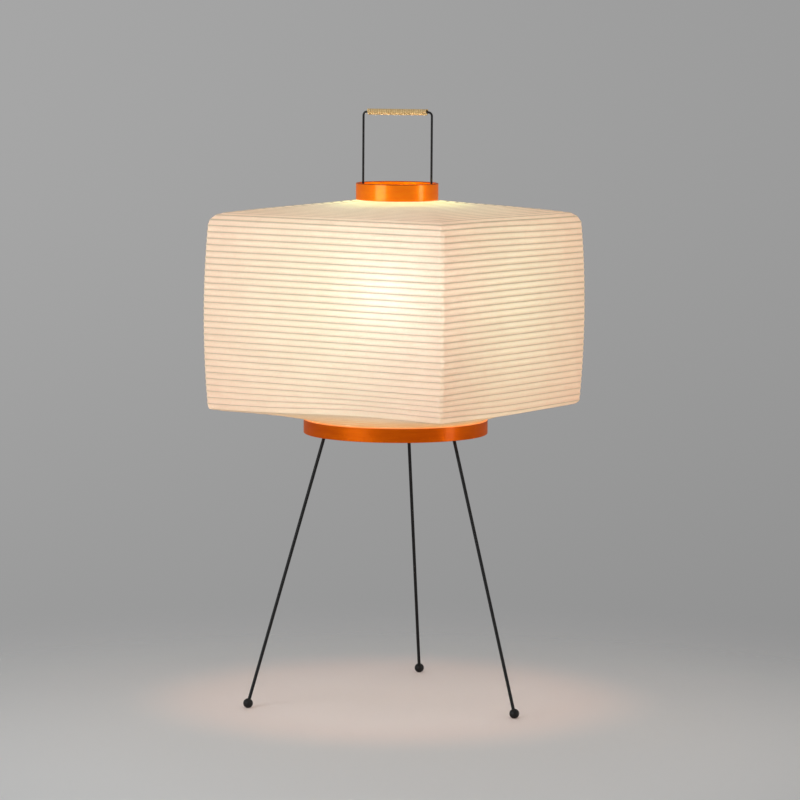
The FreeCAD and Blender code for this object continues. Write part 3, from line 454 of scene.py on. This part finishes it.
def sloping_levels(neck, neck_height, width, drop, slopes, sense):
    """Levels from a hoop out to its edge, with the slope at the hoop and the slope at the edge."""
    levels = []
    for step in range(1, slope_steps):
        share = step / slope_steps
        fall = (drop * share**2 * (3 - 2 * share)
                + width * math.tan(slopes[0]) * share * (1 - share)**2
                - width * math.tan(slopes[1]) * share**2 * (1 - share))
        bend = (neck - hem_flat) * (1 - share) + corner_radius * share
        levels.append((neck_height - sense * fall, neck + width * share, bend))
    return levels


skin_levels = [(top_neck_height + hem, top_neck, top_neck - hem_flat),
               (top_neck_height, top_neck, top_neck - hem_flat)]
skin_levels += sloping_levels(top_neck, top_neck_height, top_width, top_drop,
                              (top_slope_at_hoop, top_slope_at_edge), 1)
skin_levels += edge_levels(top_edge, 1, top_edge_radius, top_slope_at_edge, top_edge_steps)
for step in range(1, side_steps):
    share = 1 - 2 * step / side_steps
    skin_levels.append((side_middle + side_reach * share, side_face - side_bulge * share**2, corner_radius))
skin_levels += reversed(edge_levels(bottom_edge, -1, bottom_edge_radius, bottom_slope_at_edge,
                                    bottom_edge_steps))
skin_levels += reversed(sloping_levels(bottom_neck, bottom_neck_height, bottom_width, bottom_drop,
                                       (bottom_slope_at_hoop, bottom_slope_at_edge), -1))
skin_levels += [(bottom_neck_height, bottom_neck, bottom_neck - hem_flat),
                (bottom_neck_height - hem, bottom_neck, bottom_neck - hem_flat)]
skin_runs = [0.0]
for above, below in zip(skin_levels, skin_levels[1:]):
    skin_runs.append(skin_runs[-1] + math.hypot(below[0] - above[0], below[1] - above[1]))


def skin_level(run):
    """Height, half side, corner radius and outward direction at a distance along the skin."""
    for above, below, begin, end in zip(skin_levels, skin_levels[1:], skin_runs, skin_runs[1:]):
        if run <= end:
            break
    share = min(1.0, (run - begin) / (end - begin))
    level = [a + (b - a) * share for a, b in zip(above, below)]
    return level + [(above[0] - below[0]) / (end - begin), (below[1] - above[1]) / (end - begin)]


def toward(place, bearing):
    """1 where a place lies at a bearing from the axis, and 0 a quarter turn from it or more."""
    return max(0.0, (place.x * math.cos(bearing) + place.y * math.sin(bearing)) / place.length)


def nearness(height, edge, neck, reach):
    """1 at an edge of the shade, 0 at that end's neck, and 0 on the side beyond a reach."""
    if (height - edge) * (neck - edge) > 0:
        return max(0.0, (neck - height) / (neck - edge))
    return max(0.0, 1 - abs(height - edge) / reach)


def skin_point(level, column, outwards):
    """The point of the skin on one of its columns, moved outwards from the skin."""
    height, half, bend, across, up = level
    quarter, step = divmod(column, side_columns + corner_columns)
    straight = half - bend
    if step < side_columns:
        place = Vector((half, straight * (2 * step / side_columns - 1), 0))
        facing = Vector((1, 0, 0))
    else:
        angle = math.pi / 2 * (step - side_columns) / corner_columns
        facing = Vector((math.cos(angle), math.sin(angle), 0))
        place = Vector((straight, straight, 0)) + facing * bend
    place += facing * (across * outwards)
    place.rotate(Matrix.Rotation(math.pi / 2 * quarter, 3, "Z"))
    lift = drawn_up * toward(place, drawn_up_bearing) ** drawn_up_focus
    lift *= nearness(height, bottom_edge, bottom_neck_height, drawn_up_reach)
    sink = droop * toward(place, droop_bearing) ** droop_focus
    sink *= nearness(height, top_edge, top_neck_height, droop_reach)
    place.z = height + up * outwards + lift - sink
    return place


def turn_of(point):
    """How far round the lamp a point is, as a share of a turn from the corner nearest the camera."""
    return (math.atan2(point.y, point.x) / (2 * math.pi) + 0.125) % 1.0


# Rib: one long splint of split bamboo, wound in a spiral from hoop to hoop under the paper.
# It is glued to the paper's inside and gives the shade its lines.
rib_pitch = 0.00775
rib_height_at_corner = 0.5108
rib_radius = 0.0006
paper_thickness = 0.0004
neck_clear = 0.004
search_step = 0.0002
level_on_side = 25
run = skin_runs[2]
while skin_level(run)[0] > rib_height_at_corner:
    run += search_step
first_rib = run % rib_pitch

side_level = skin_level(skin_runs[level_on_side])
column_turns = [turn_of(skin_point(side_level, column, 0.0)) for column in range(columns)]
rib_loops = math.ceil(skin_runs[-1] / rib_pitch)
stations = [(loop + turn, column) for loop in range(rib_loops) for column, turn in enumerate(column_turns)]
path = []
for turns, column in sorted(stations):
    run = first_rib + rib_pitch * turns
    if skin_runs[1] + neck_clear < run < skin_runs[-2] - neck_clear:
        path.append(skin_point(skin_level(run), column, -paper_thickness - rib_radius))

spiral = bpy.data.curves.new("rib_path", "CURVE")
spiral.dimensions = "3D"
spiral.bevel_depth = rib_radius
spiral.bevel_resolution = 0
spiral.use_fill_caps = True
line = spiral.splines.new("POLY")
line.points.add(len(path) - 1)
for point, place in zip(line.points, path):
    point.co = (*place, 1)
rib_curve = bpy.data.objects.new("rib_path", spiral)
bpy.context.scene.collection.objects.link(rib_curve)
bpy.context.view_layer.update()
rib_mesh = bpy.data.meshes.new_from_object(rib_curve.evaluated_get(bpy.context.evaluated_depsgraph_get()))
bpy.data.objects.remove(rib_curve)

bamboo, shader, place = new_finish("split_bamboo")
fibre = place.noise(1200)
node_mark = place.noise(45)
plug(shader, {
    "Base Color": (fibre * 0.5 + node_mark * 0.5).blend((0.36, 0.25, 0.11, 1), (0.62, 0.47, 0.26, 1)),
    "Roughness": 0.5 + fibre * 0.2,
})
rib = add_piece("bamboo_rib", rib_mesh, bamboo, "stand")
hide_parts("rib_spiral")
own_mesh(rib)


# Paper: long-fibred handmade paper in four sides, pasted over the rib and lapped at the corners.
# It hangs a little hollow between the rib's turns, and its hems are glued inside the hoops.
sag = 0.0008
rings_a_rib = 6
skin = bmesh.new()
column_layer = skin.verts.layers.int.new("column")
run_layer = skin.verts.layers.float.new("run")
ring = bmesh.ops.create_circle(skin, segments=columns, radius=1.0)["verts"]
for number, vert in enumerate(ring):
    vert[column_layer] = number
edges = skin.edges[:]
ring_runs = list(skin_runs[:2])
while ring_runs[-1] < skin_runs[-2]:
    ring_runs.append(min(skin_runs[-2], ring_runs[-1] + rib_pitch / rings_a_rib))
ring_runs.append(skin_runs[-1])
for number, run in enumerate(ring_runs):
    if number > 0:
        made = bmesh.ops.extrude_edge_only(skin, edges=edges)["geom"]
        ring = [part for part in made if isinstance(part, bmesh.types.BMVert)]
        edges = [part for part in made if isinstance(part, bmesh.types.BMEdge)
                 and all(vert in ring for vert in part.verts)]
    level = skin_level(run)
    tension = 1.0 if skin_runs[1] < run < skin_runs[-2] else 0.0
    for vert in ring:
        taut_place = skin_point(level, vert[column_layer], 0.0)
        phase = (run - first_rib) / rib_pitch - turn_of(taut_place)
        hollow = sag * tension * math.sin(math.pi * (phase % 1.0))
        vert[run_layer] = run
        vert.co = skin_point(level, vert[column_layer], -hollow)
rib_map = skin.loops.layers.uv.new("ribs")
for face in skin.faces:
    turns = {vert: turn_of(vert.co) for vert in face.verts}
    last = max(turns.values())
    for corner in face.loops:
        turn = turns[corner.vert]
        if last - turn > 0.5:
            turn += 1.0
        corner[rib_map].uv = (turn, (corner.vert[run_layer] - first_rib) / rib_pitch - turn)

# The lamplight through the paper is painted into its glow, strongest where the paper is
# near the bulb and square to it. The painted glow is dimmer on the top and along the laps;
# painted light brightens it by the top hoop and painted shade darkens it by the bottom one.
# The rib's lines are painted shadows in the glow, and the rib showing through in the base colour.
dimmest = 0.24
glow_span = 0.81
glow_limit = 1.1
top_share = 0.5
top_tilt = (0.05, 0.24)
line_core = 0.00025
line_edge = 0.00085
shadow_spread_on_top = 0.0013
lap_begin = (0.001, 0.003)
lap_end = (0.0105, 0.0115)
upper_part = (0.55, 0.6)
neck_light_begin = top_neck + 0.005
neck_light_end = top_neck + 0.06
foot_shade_begin = bottom_neck_height + 0.004
foot_shade_end = bottom_neck_height + 0.02

paper, shader, place = new_finish("lit_paper")
east, north, height = place.axes()
off_axis = (east * east + north * north) ** 0.5
from_bulb = place.node("VectorMath", {"operation": "SUBTRACT"}, {0: place, 1: bulb_middle})
to_bulb = place.node("VectorMath", {"operation": "LENGTH"}, {0: from_bulb}, "Value")
facing = place.node("NewGeometry", {}, {}, "Normal")
square_on = place.node("VectorMath", {"operation": "DOT_PRODUCT"}, {0: from_bulb, 1: facing}, "Value")
over = facing.axes()[2].rise(*top_tilt)
glow = (abs(square_on) * side_face / to_bulb**2 - dimmest) / glow_span
glow = place.node("Clamp", {}, {0: glow, 1: 0.0, 2: glow_limit})
glow = glow * (1 - over) + over * top_share * side_face**2 / to_bulb**2
phase = place.node("UVMap", {"uv_map": "ribs"}, {}, 0).axes()[1]
to_rib = abs(place.maths("FRACT", phase + 0.5) - 0.5) * rib_pitch
# Painted shadow of the rib in the glow, wider on the top, and the rib showing through in the base colour.
rib_line_and_shadow = 1 - to_rib.rise(line_core, line_edge + over * shadow_spread_on_top)
across = (abs(east) - abs(north)) * place.maths("SIGN", east * north)
lap = across.rise(*lap_begin) * (1 - across.rise(*lap_end))
neck_light_mask = height.rise(*upper_part) * (1 - off_axis.rise(neck_light_begin, neck_light_end))
foot_shade_mask = 1 - height.rise(foot_shade_begin, foot_shade_end)
fleck = place.noise(420, 6.0)
pulp = place.noise(45, 4.0)
strand_place = place.node("Mapping", {}, {"Vector": place, "Scale": (70.0, 70.0, 900.0)})
strand = strand_place.noise(1.0, 5.0)
fibres = (fleck * 0.35 + pulp * 0.35 + strand * 0.3).rise(0.3, 0.7)
fibre_shade = 1 - (1 - fibres) * 0.07
lap_light = glow.blend((0.21, 0.075, 0.025, 1), (0.32, 0.25, 0.14, 1))
lamplight = glow.blend((0.24, 0.085, 0.027, 1), (0.335, 0.28, 0.17, 1))
lamplight = (lap * 0.4).blend(lamplight, lap_light)
lamplight = neck_light_mask.blend(lamplight, (0.6, 0.56, 0.26, 1))
lamplight = (foot_shade_mask * 0.8).blend(lamplight, (0.3, 0.12, 0.0, 1))
lamplight = (rib_line_and_shadow * 0.82).blend(lamplight, (0.045, 0.045, 0.015, 1))
lamplight = fibre_shade.blend((0, 0, 0, 1), lamplight)
whiteness = fibres.blend((0.68, 0.655, 0.6, 1), (0.76, 0.75, 0.7, 1))
plug(shader, {
    "Base Color": (rib_line_and_shadow * 0.4).blend(whiteness, (0.5, 0.42, 0.26, 1)),
    "Roughness": 0.5 + fleck * 0.06,
    "IOR": 1.65,
    "Specular IOR Level": 0.2,
    "Transmission Weight": 0.45,
    "Emission Color": lamplight,
    "Emission Strength": 1.0,
    "Normal": (fleck * 0.5 + strand * 0.5).bump(0.00006),
})
paper_piece = add_piece("paper_shade", mesh_from(skin, "paper_shade"), paper, "stand")
wall = paper_piece.modifiers.new("thickness", "SOLIDIFY")
wall.thickness = paper_thickness
wall.offset = -1.0
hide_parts("paper_right", "paper_back", "paper_left", "paper_front")
paper_width = 8 * side_face
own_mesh(paper_piece)


# Studio: a wide pale floor that fades into a grey background,
# with a painted warm pool of lamplight under the lamp.
# Two tall soft lights stand to the camera's left and right, and one hangs overhead.
view_bearing = math.radians(31.826)
camera_right = Vector((math.cos(view_bearing), math.sin(view_bearing), 0))
camera_ahead = Vector((-math.sin(view_bearing), math.cos(view_bearing), 0))
floor_radius = 9.0
bright_middle = -0.35 * camera_ahead
floor_fade = (0.3, 1.15)
pool_middle = (0.05, 0.26)
pool_edge = (0.21, 0.35)
floor_shape = bmesh.new()
bmesh.ops.create_circle(floor_shape, segments=96, radius=floor_radius, cap_ends=True)
floor_mesh = mesh_from(floor_shape, "floor")
floor = bpy.data.objects.new("floor", floor_mesh)
bpy.context.scene.collection.objects.link(floor)
floor_paint, shader, place = new_finish("floor_paint")
off_middle = place.node("VectorMath", {"operation": "DISTANCE"}, {0: place, 1: bright_middle}, "Value")
off_axis = place.node("VectorMath", {"operation": "LENGTH"}, {0: place}, "Value")
# A painted pool of the lamp's light on the floor, warm in the middle and fading at its edge.
pool = off_axis.rise(*pool_middle).blend((0.12, 0.068, 0.052, 1), (0.115, 0.048, 0.025, 1))
plug(shader, {
    "Base Color": (0.7, 0.7, 0.7, 1),
    "Roughness": 0.6,
    "Emission Color": off_axis.rise(*pool_edge).blend(pool, (0, 0, 0, 1)),
    "Emission Strength": 1.0,
})
clear = place.node("BsdfTransparent", {}, {})
faded = place.node("MixShader", {}, {
    0: off_middle.rise(*floor_fade), 1: Signal(place.tree, shader.outputs[0]), 2: clear})
plug(floor_paint.node_tree.nodes["Material Output"], {"Surface": faded})
floor_mesh.materials.append(floor_paint)

aim_point = Vector((0, 0, 0.45))


def soft_light(name, bearing, distance, height, size, power, colour):
    """A soft box that faces the lamp, at a bearing to the right of the camera, seen from the lamp."""
    light = bpy.data.lights.new(name, "AREA")
    light.shape = "RECTANGLE"
    light.size, light.size_y = size
    light.energy = power
    light.color = colour
    box = bpy.data.objects.new(name, light)
    turned = math.radians(bearing)
    away = camera_right * math.sin(turned) - camera_ahead * math.cos(turned)
    box.location = away * distance + Vector((0, 0, height))
    aim = aim_point - box.location
    box.rotation_euler = aim.to_track_quat("-Z", "Y").to_euler()
    box.visible_camera = False
    bpy.context.scene.collection.objects.link(box)


soft_light("left_soft_light", bearing=-47, distance=2.4, height=0.95, size=(1.35, 1.65),
           power=26, colour=(0.95, 0.99, 1.0))
soft_light("right_soft_light", bearing=70, distance=2.6, height=0.72, size=(0.6, 1.5),
           power=15.5, colour=(1.0, 0.9, 0.8))
soft_light("overhead_soft_light", bearing=-20, distance=0.6, height=2.6, size=(2.4, 2.4),
           power=5, colour=(1.0, 1.0, 1.0))

world = bpy.data.worlds.new("studio")
bpy.context.scene.world = world
world.use_nodes = True
studio = Signal(world.node_tree)
camera_ray = studio.node("LightPath", {}, {}, "Is Camera Ray")
glossy_ray = studio.node("LightPath", {}, {}, "Is Glossy Ray")
clear_ray = studio.node("LightPath", {}, {}, "Is Transmission Ray")
seen = studio.maths("MAXIMUM", studio.maths("MAXIMUM", camera_ray, glossy_ray), clear_ray)
sight = studio.node("TexCoord", {}, {}, "Generated")
sideways = studio.node("VectorMath", {"operation": "DOT_PRODUCT"}, {0: sight, 1: camera_right}, "Value")
climb = sight.axes()[2]
# Painted falloff of the studio light: the backdrop is darker looking down and towards the camera's right.
backdrop = climb.rise(-0.2, -0.02).blend((0.33, 0.33, 0.33, 1), (0.39, 0.39, 0.39, 1))
backdrop = (sideways.rise(-0.2, 0.2) * 0.23).blend(backdrop, (0.1, 0.1, 0.1, 1))
background = world.node_tree.nodes["Background"]
plug(background, {"Color": seen.blend((0.4, 0.4, 0.4, 1), backdrop), "Strength": 1.0})

looking_down = math.radians(6.006)
camera_roll = math.radians(0.385)
camera_data = bpy.data.cameras.new("camera")
camera_data.sensor_width = 36.0
camera_data.lens = 165.26
camera = bpy.data.objects.new("camera", camera_data)
camera.location = (2.3766, -3.8193, 0.8465)
pitch = Matrix.Rotation(math.pi / 2 - looking_down, 3, "X")
roll = Matrix.Rotation(camera_roll, 3, "Z")
camera.rotation_euler = (Matrix.Rotation(view_bearing, 3, "Z") @ pitch @ roll).to_euler()
bpy.context.scene.collection.objects.link(camera)
bpy.context.scene.camera = camera
bpy.context.scene.view_settings.view_transform = "Standard"
